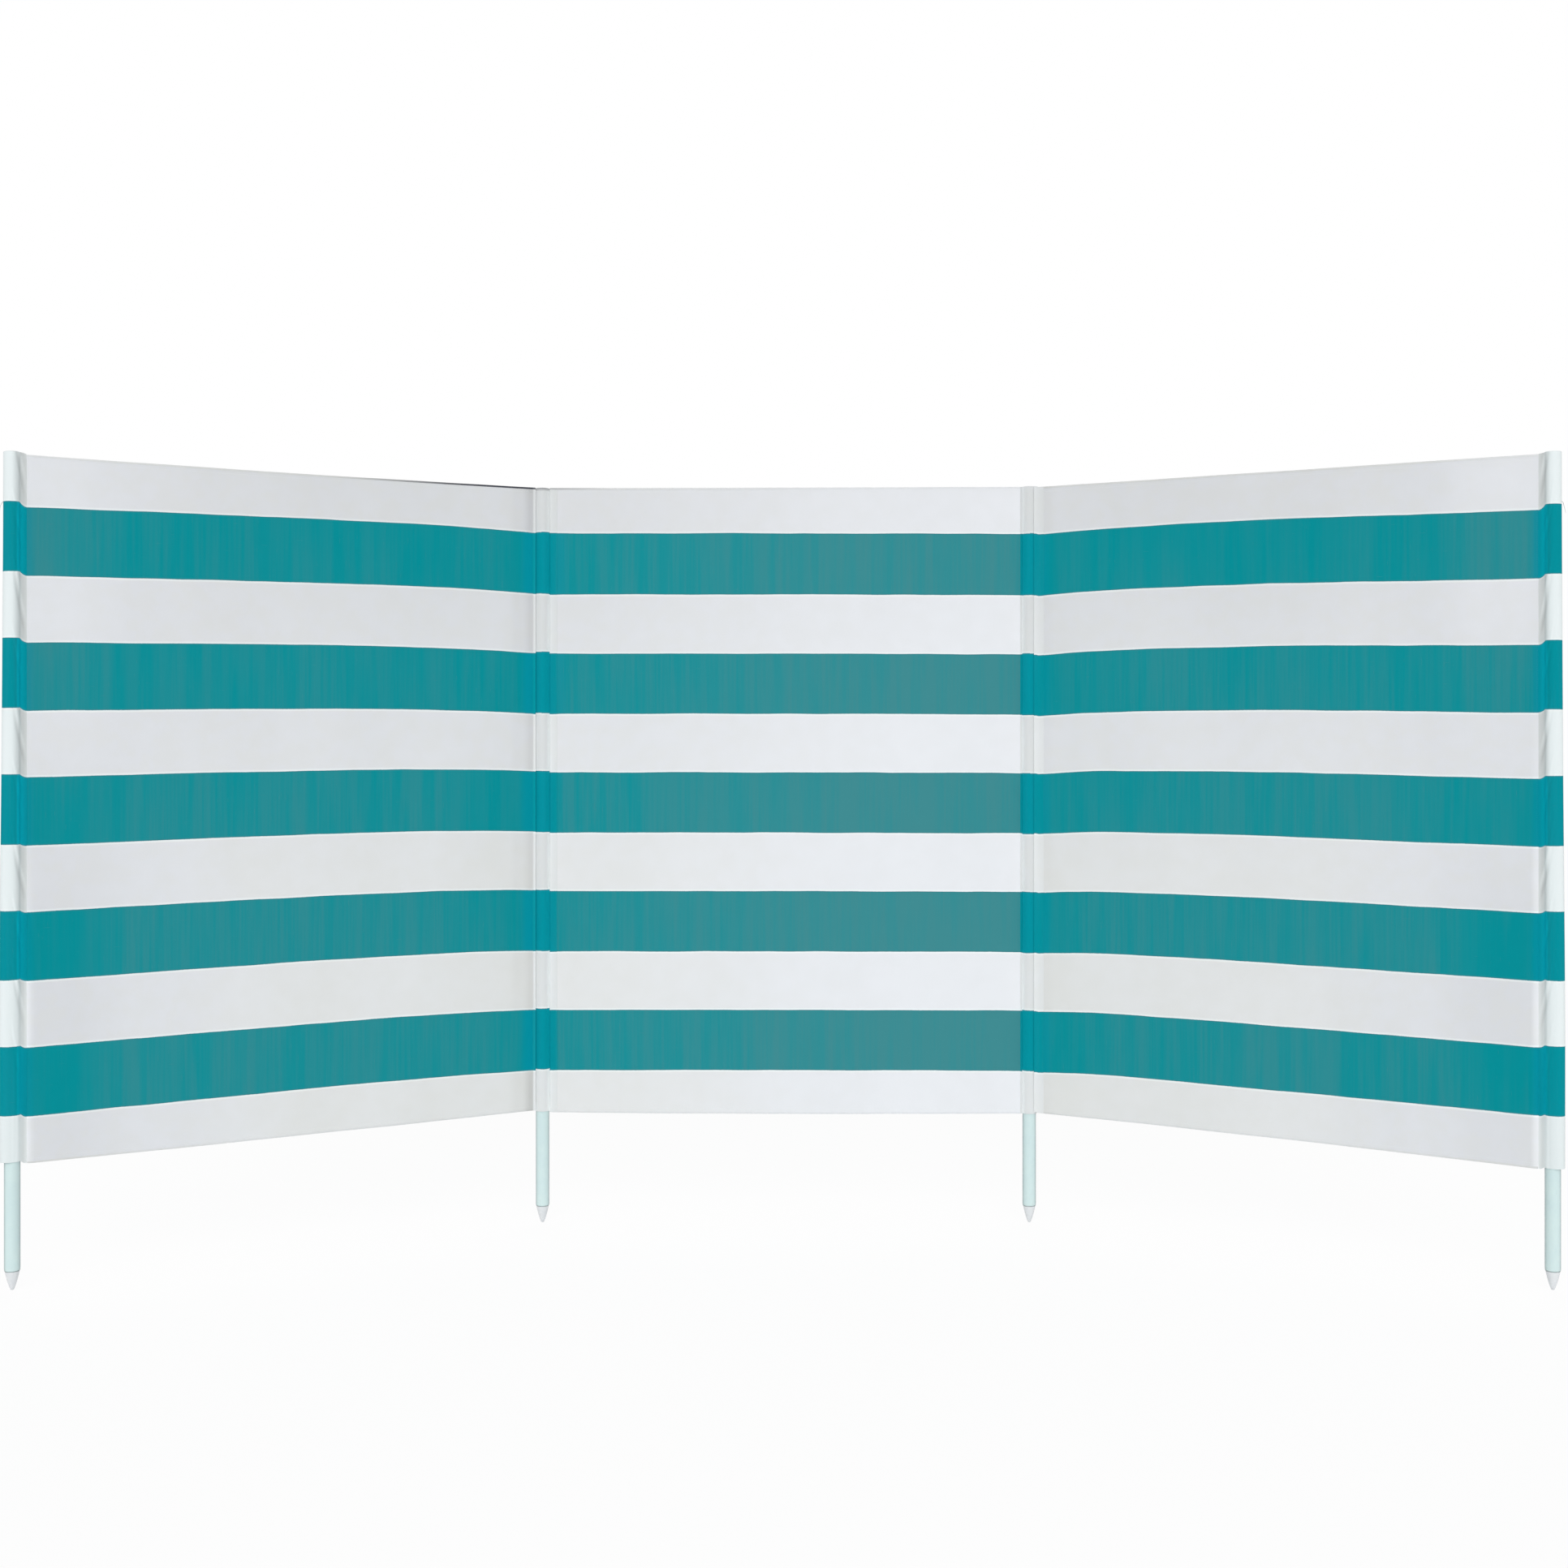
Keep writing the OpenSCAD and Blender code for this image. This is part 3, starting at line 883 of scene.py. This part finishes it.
def striped_canvas(weave, yarn, stripes):
    """Woven canvas: teal and white stripes, uneven yarn, bleaching, painted light and shade, weave and slubs
    in relief.
    """
    made, bench, shader = new_material("striped_canvas_weave", 0.9, specular=0.03)
    cloth, fade = bench.cloth_map(), bench.mark("fade")
    uneven = use_group(bench, yarn, Cloth=cloth)
    band = use_group(bench, stripes, Cloth=cloth, Spread=bench.mark("spread"))
    woven = use_group(bench, weave, Cloth=cloth)
    streaky = bench.times(bench.swing(uneven["Streak"], 0.42), bench.between(fade, 0.0, 0.35, 0.35, 1.0))
    worn = bench.add(fade, streaky, clamp=True)
    worn = bench.add(worn, bench.times(uneven["Slub"], 0.28), clamp=True)
    teal = bench.blend(worn, TEAL_DEEP, TEAL_PALE)
    fresh = bench.times(bench.mark("fresh"), bench.between(uneven["Streak"], 0, 1, 0.75, 1.0))
    teal = bench.blend(fresh, teal, TEAL_FRESH)
    teal = bench.blend(bench.times(band["Dark Line"], 0.35), teal, TEAL_LINE)
    # Painted light: the teal is lightened where it lies in shade, in the sleeves' hollows, on the pockets'
    # flanks and on the strip beside the left middle pocket.
    teal = bench.tint(teal, bench.math("MULTIPLY_ADD", bench.mark("painted_teal_light"), 0.48, 1.0))
    cool = bench.times(bench.mark("cool"), bench.between(uneven["Mottle"], 0.25, 0.75, 0.7, 1.1))
    bleached = bench.add(fade, bench.swing(uneven["Mottle"], 0.16), clamp=True)
    white = bench.blend(bleached, bench.blend(cool, WHITE_PLAIN, WHITE_COOL), WHITE_PALE)
    white = bench.blend(bench.mark("mint"), white, WHITE_MINT)
    white = bench.blend(bench.times(band["Pale Line"], 0.55), white, WHITE_LINE)
    # Painted shade greys the white: all over the sleeves and most in their hollows and creases, beside the
    # middle poles and towards the head.
    shade_amount = bench.add(bench.mark("painted_fold_shade"), bench.mark("painted_shade"))
    white = bench.tint(white, bench.math("MULTIPLY_ADD", shade_amount, PAINTED_SHADE_DEPTH, 1.0))
    colour = bench.blend(band["Teal"], white, teal)
    # Painted highlights where the cloth is marked to catch the light, and painted shade in the dips of the
    # weave.
    caught = bench.times(bench.mark("lift"), bench.between(band["Teal"], 0, 1, 1.0, 0.25))
    colour = bench.tint(colour, bench.add(caught, bench.between(woven["Shade"], 0.0, 1.0, 0.92, 1.04)))
    # Painted shade: the colour darkens where the cloth turns edge-on to the view.
    facing = bench.node("LayerWeight", {"Blend": 0.5}).outputs["Facing"]
    colour = bench.tint(colour, bench.between(facing, 0.72, 0.98, 1.0, 0.80))
    # Darkened along a thin line at the head of the cloth beside the left middle pole.
    bench.feed(shader["Base Color"], bench.blend(bench.mark("dark_edge"), colour, DARK_EDGE_COLOUR))
    woven_finish(bench, shader, woven, uneven)
    return made


def hem_canvas(weave, yarn):
    """White canvas of the turned edges."""
    made, bench, shader = new_material("white_hem_weave", 0.9, specular=0.05)
    cloth = bench.cloth_map()
    uneven = use_group(bench, yarn, Cloth=cloth)
    woven = use_group(bench, weave, Cloth=cloth)
    white = bench.blend(bench.mark("fade"), WHITE_PLAIN, WHITE_PALE)
    white = bench.blend(bench.times(uneven["Streak"], 0.18), white, dye("#CDD2D4"))
    # Painted shade greys the white: in the dips of the weave, and where the cloth is marked with it.
    white = bench.tint(white, bench.between(woven["Shade"], 0.0, 1.0, 0.88, 1.02))
    white = bench.tint(white, bench.math("MULTIPLY_ADD", bench.mark("painted_shade"), PAINTED_SHADE_DEPTH, 1.0))
    # Darkened along a thin line at the head of the cloth beside the left middle pole.
    bench.feed(shader["Base Color"], bench.blend(bench.mark("dark_edge"), white, DARK_EDGE_COLOUR))
    woven_finish(bench, shader, woven, uneven)
    return made


def ply_twist(bench, shader, scale, depth):
    """The twist of a thread's plies: slanting waves in relief."""
    twist = bench.node("TexWave", {"Vector": bench.place(), "Scale": scale, "Distortion": 2.0},
                       bands_direction="DIAGONAL")
    bench.relief(shader, 0.4, depth, twist.outputs["Fac"])


def sewing_thread(stripes, yarn):
    """Sewing thread, dyed with the stripe that it crosses."""
    made, bench, shader = new_material("sewing_thread", 0.6, sheen=0.1, specular=0.35)
    cloth = bench.cloth_map()
    band = use_group(bench, stripes, Cloth=cloth)
    uneven = use_group(bench, yarn, Cloth=cloth)
    white = bench.blend(bench.times(uneven["Mottle"], 0.4), dye("#E9ECEC"), dye("#D9DEDF"))
    teal = bench.blend(uneven["Streak"], dye("#0A8D9B"), dye("#2A979D"))
    bench.feed(shader["Base Color"], bench.blend(band["Teal"], white, teal))
    ply_twist(bench, shader, 900.0, 0.08 * MM)
    return made


def loose_thread_finish(yarn):
    """Undyed grey thread of the loose ends."""
    made, bench, shader = new_material("grey_thread", 0.7, sheen=0.1, specular=0.3)
    uneven = use_group(bench, yarn, Cloth=bench.place())
    bench.feed(shader["Base Color"], bench.blend(uneven["Mottle"], dye("#A9ACAF"), dye("#8C9093")))
    ply_twist(bench, shader, 800.0, 0.1 * MM)
    return made


def enamel(scuffs):
    """Mint white satin enamel on the steel tubes, a little dulled and scratched by handling."""
    made, bench, shader = new_material("mint_enamel", 0.38, specular=0.12)
    place = bench.place()
    wear = use_group(bench, scuffs, Place=place)
    tint = bench.blend(wear["Haze"], dye("#D1E4E3"), dye("#CCE0E1"))
    colour = bench.blend(bench.times(wear["Scuff"], 0.5), tint, dye("#AEBFBF"))
    # Painted shade: the enamel darkens where the tube turns edge-on to the view, and most at its foot, over
    # its last two millimetres.
    facing = bench.node("LayerWeight", {"Blend": 0.5}).outputs["Facing"]
    colour = bench.tint(colour, bench.between(facing, 0.30, 0.85, 1.01, 0.68))
    height = bench.node("SeparateXYZ", {0: place}).outputs[2]
    rim_shade = bench.between(height, TUBE_FOOT + 0.6 * MM, TUBE_FOOT + 2.2 * MM, 0.62, 1.0)
    bench.feed(shader["Base Color"], bench.tint(colour, rim_shade))
    hazy = bench.between(wear["Haze"], 0.0, 1.0, 0.34, 0.48)
    bench.feed(shader["Roughness"], bench.add(hazy, bench.times(wear["Scuff"], 0.2)))
    peel = bench.add(bench.noise(place, 620, 2.0), bench.times(wear["Scuff"], -0.8))
    bench.relief(shader, 0.12, 0.1 * MM, peel)
    return made


def spike_moulding(scuffs):
    """Moulded plastic: cloudy white, slightly waxy, with flow lines and sand-dulled skin."""
    made, bench, shader = new_material(
        "moulded_white_plastic", 0.45, coat=0.1, coat_roughness=0.35, specular=0.4)
    place = bench.place()
    wear = use_group(bench, scuffs, Place=place)
    flow = bench.between(bench.noise(bench.stretch(place, 150, 150, 40), 1.0, 3.0), 0.3, 0.7)
    cloudy = bench.blend(flow, dye("#E2E5E7"), dye("#DBDEE1"))
    bench.feed(shader["Base Color"], bench.blend(bench.times(wear["Scuff"], 0.4), cloudy, dye("#C6C9C8")))
    bench.feed(shader["Roughness"], bench.between(wear["Haze"], 0.0, 1.0, 0.38, 0.56))
    bench.relief(shader, 0.1, 0.1 * MM, bench.add(flow, wear["Scuff"]))
    return made


# ---- poles and spikes

def turned(name, node, profile, body, material, slot, sides=64):
    """A shape turned about a CAD piece's axis: a closed profile of (radius, height) points spun round."""
    radius, height = np.array(profile).T[..., None]
    turn = circle(sides)
    x, y = axis_of(node)
    points = np.stack([x + radius * np.cos(turn), y + radius * np.sin(turn), height + 0 * turn], axis=-1)
    numbers = closed(np.arange(len(profile) * sides).reshape(len(profile), sides))
    numbers = np.concatenate([numbers, numbers[:1]]) if radius.min() > 1e-6 else numbers
    faces = quads_of(numbers)
    made = make_mesh(name, points.reshape(-1, 3), faces, np.zeros((faces.size, 2)), {}, weld=WELD, sharp=35)
    return finish_piece(made, body, material, slot, node)


def tube_profile():
    """Tube wall: the foot is rolled in a little over its last few millimetres, and both rims are rounded."""
    bore = POLE_R - TUBE_WALL
    roll = [(POLE_R - inset * MM, TUBE_FOOT + up * MM)
            for inset, up in ((0.75, 0.1), (0.5, 0.35), (0.28, 1.4), (0.1, 3.0), (0.0, 5.0))]
    rim = [(POLE_R, TUBE_HEAD - 0.3 * MM), (POLE_R - 0.3 * MM, TUBE_HEAD),
           (bore + 0.2 * MM, TUBE_HEAD), (bore, TUBE_HEAD - 0.2 * MM)]
    mouth = [(bore - inset * MM, TUBE_FOOT + up * MM) for inset, up in ((0.0, 5.0), (0.45, 0.9), (0.5, 0.25))]
    return roll + rim + mouth


def spike_profile():
    """Spike: a shank up the tube, a neck that shadows the tube's rim, and a nearly straight, blunt cone.

    The cone's radius runs from tip to shoulder as x + 0.35 x (1 - x), where x is the share of its height.
    """
    tip, shoulder = 3.0 * MM, POLE_R - 1.2 * MM
    blunt = [(0.0, 0.1 * MM), (tip * 0.45, 0.2 * MM), (tip * 0.85, 0.9 * MM)]
    cone = [(tip + (shoulder - tip) * (x + 0.35 * x * (1 - x)), 1.4 * MM + (TUBE_FOOT - 3.0 * MM) * x)
            for x in np.linspace(0.05, 1, 12)]
    neck = [(shoulder - inset * MM, TUBE_FOOT + up * MM)
            for inset, up in ((0.1, -0.9), (0.9, -0.5), (1.0, 0.8))]
    shank_r = POLE_R - 1.3 * MM
    shank = [(shank_r, TUBE_FOOT + 1.5 * MM), (shank_r, SHANK_HEAD - 1 * MM),
             (POLE_R - 2.0 * MM, SHANK_HEAD), (0.0, SHANK_HEAD)]
    return blunt + cone + neck + shank


# ---- floor, light and camera

WORLD_LIGHT = 0.55          # strength of the white surround as light
FLOOR_GLOW = 0.93           # share of plain white in the floor, as seen
FLOOR_REACH = 14.0          # half the floor's side, m
# Each lamp's name, heading and height in degrees, and strength
LAMPS = [("front_lamp", 0, 28, 1.45), ("back_lamp", 180, 35, 0.7)]
EYE_ACROSS, EYE_AWAY, EYE_UP = 0.045, 3.41, 0.905  # camera: right of the middle, in front, above the ground


def studio():
    """Pale floor that keeps the soft shadow, a white surround, and even light from the front and the back."""
    floor_mat = bpy.data.materials.new("pale_floor")
    bench = bare_bench(floor_mat)
    matt = bench.node("BsdfDiffuse", {"Color": (0.92, 0.92, 0.92, 1)})
    glow = bench.node("Emission", {"Color": (1, 1, 1, 1), "Strength": 1.0})
    share = bench.times(bench.seen(), FLOOR_GLOW)
    mixed = bench.node("MixShader", {0: share, 1: matt.outputs[0], 2: glow.outputs[0]})
    bench.node("OutputMaterial", {"Surface": mixed.outputs[0]})
    middle = (CAD_BOX[0] + CAD_BOX[1]) / 2
    corners = [(middle.x + x * FLOOR_REACH, middle.y + y * FLOOR_REACH, 0.0)
               for x, y in ((-1, -1), (1, -1), (1, 1), (-1, 1))]
    mesh = bpy.data.meshes.new("floor")
    mesh.from_pydata(corners, [], [(0, 1, 2, 3)])
    mesh.materials.append(floor_mat)
    floor = bpy.data.objects.new("floor", mesh)
    bpy.context.scene.collection.objects.link(floor)

    world = bpy.data.worlds.new("white_surround")
    bench = bare_bench(world)
    strength = bench.add(WORLD_LIGHT, bench.times(bench.seen(), 1.0 - WORLD_LIGHT))
    backdrop = bench.node("Background", {"Color": (1, 1, 1, 1), "Strength": strength})
    bench.node("OutputWorld", {"Surface": backdrop.outputs[0]})
    bpy.context.scene.world = world

    for name, heading, height, energy in LAMPS:
        lamp = bpy.data.lights.new(name, "SUN")
        lamp.energy = energy
        lamp.angle = math.radians(50)
        holder = bpy.data.objects.new(name, lamp)
        holder.rotation_euler = (math.radians(90 - height), 0, math.radians(heading))
        bpy.context.scene.collection.objects.link(holder)


def camera():
    """Camera in front, level, a little right of the middle, framed by a small shift."""
    lens = bpy.data.cameras.new("camera")
    lens.sensor_width = 36
    lens.lens = 41.68
    lens.shift_x = -0.0165
    lens.shift_y = -0.0279
    eye = bpy.data.objects.new("camera", lens)
    eye.location = (PITCH / 2 + EYE_ACROSS, -EYE_AWAY, EYE_UP)
    eye.rotation_euler = (math.radians(90), 0, 0)
    bpy.context.scene.collection.objects.link(eye)
    bpy.context.scene.camera = eye


camera()
studio()
bpy.context.scene.view_settings.view_transform = "Standard"

WEAVE, YARN, STRIPES, SCUFFS = weave_group(), yarn_group(), stripe_group(), scuff_group()
canvas = striped_canvas(WEAVE, YARN, STRIPES)
tape = hem_canvas(WEAVE, YARN)
thread = sewing_thread(STRIPES, YARN)
grey_thread = loose_thread_finish(YARN)
paint, plastic = enamel(SCUFFS), spike_moulding(SCUFFS)

# ---- the pieces

POLES = {"left_end": "left_bay", "left_mid": "middle_bay",
         "right_mid": "middle_bay", "right_end": "right_bay"}
for place, body in POLES.items():
    turned(f"{place}_tube", f"{place}_pole", tube_profile(), body, paint, "pole_enamel")
    turned(f"{place}_point", f"{place}_spike", spike_profile(), body, plastic, "spike_plastic")

left_cloth = bay_cloth("left", TURNING, LEFT.length - SEAM_AT)
middle_cloth = bay_cloth("middle", SEWN, MIDDLE.length - SEWN)
right_cloth = bay_cloth("right", TURNING, RIGHT.length - SEAM_AT)

left_pocket = mid_pocket("left", (-2.1, 2.2, 0.6, 0.9, 3.2))
right_pocket = mid_pocket("right", (-5.9, 3.6, 0.2, 4.0, -1.3))

left_edge = flap_strip("left_pocket_edge", LEFT, TURNING + 0.2 * MM, POCKET_R + EDGE_LIP, 1.2 * MM)
left_lap = flap_strip("left_pocket_lap", MIDDLE, SEWN, LAP_EDGE, 1.2 * MM)
right_edge = flap_strip("right_pocket_edge", MIDDLE, PITCH - SEWN, PITCH - NARROW_EDGE, 2.0 * MM)
right_lap = flap_strip("right_pocket_lap", RIGHT, TURNING * 0.87, LAP_EDGE + 1.5 * MM, 7.0 * MM)

left_sleeve = end_sleeve("left")
right_sleeve = end_sleeve("right")

hem_pieces = {side: [hem(side, "top"), hem(side, "bottom")] for side in BAYS}

# ---- rows of stitches, as distances along the bay, up the cloth and off its middle

ON_FRONT, ON_BACK, BEHIND_HEM, ON_LAP = 0.5 * CLOTH_T, -0.5 * CLOTH_T, -1.75 * CLOTH_T, 1.45 * CLOTH_T
HEM_ROW = HEM_W - 2 * MM
SEAM_ROW = np.arange(4 * MM, CLOTH_H - 3 * MM, STITCH_PITCH)
for side, bay in BAYS.items():
    stop = bay.length - (LAP_EDGE if bay is MIDDLE else SEAM_AT + 2 * MM)
    s = np.arange(LAP_EDGE, stop, STITCH_PITCH)
    rows = [row_of(bay, s, v, lift) for v in (HEM_ROW, CLOTH_H - HEM_ROW) for lift in (ON_FRONT, BEHIND_HEM)]
    if bay is not MIDDLE:
        rows += [row_of(bay, bay.length - SEAM_AT - 2.2 * MM, SEAM_ROW, lift) for lift in (ON_FRONT, ON_BACK)]
    finish_piece(sew(f"{side}_bay_stitches", rows), bay.body, thread, "striped_canvas")

SEAMS = {"left_pocket_edge": (LEFT, [NARROW_EDGE - 1.2 * MM]),
         "left_pocket_lap": (MIDDLE, [POCKET_R + 1.8 * MM, LAP_EDGE - 1.8 * MM]),
         "right_pocket_edge": (MIDDLE, [PITCH - NARROW_EDGE + 1.2 * MM]),
         "right_pocket_lap": (RIGHT, [POCKET_R + 2 * MM, LAP_EDGE - 1.8 * MM])}
TACKS = {"left_pocket_edge": (19 * MM, 31 * MM), "right_pocket_lap": (17 * MM, 29 * MM)}
for name, (bay, places) in SEAMS.items():
    rows = [row_of(bay, s, SEAM_ROW, lift) for s in places for lift in (ON_LAP, ON_BACK)]
    if name in TACKS:
        s = np.arange(*TACKS[name], STITCH_L)
        rows += [row_of(bay, s, CLOTH_H - down, ON_LAP) for down in (6 * MM, 7.2 * MM)]
    finish_piece(sew(name + "_stitches", rows), bay.body, thread, "striped_canvas")

for side, bay in (("left", LEFT), ("right", RIGHT)):
    outer = bay.length + POLE_R + 1.2 * MM
    start = bay.world(outer, 2 * MM, CLOTH_FOOT + BAND_TOP + 3 * MM)
    tail = loose_thread(f"{side}_loose_thread", start, np.append(bay.along * 6 * MM, -20 * MM))
    finish_piece(tail, bay.body, grey_thread, "white_canvas")
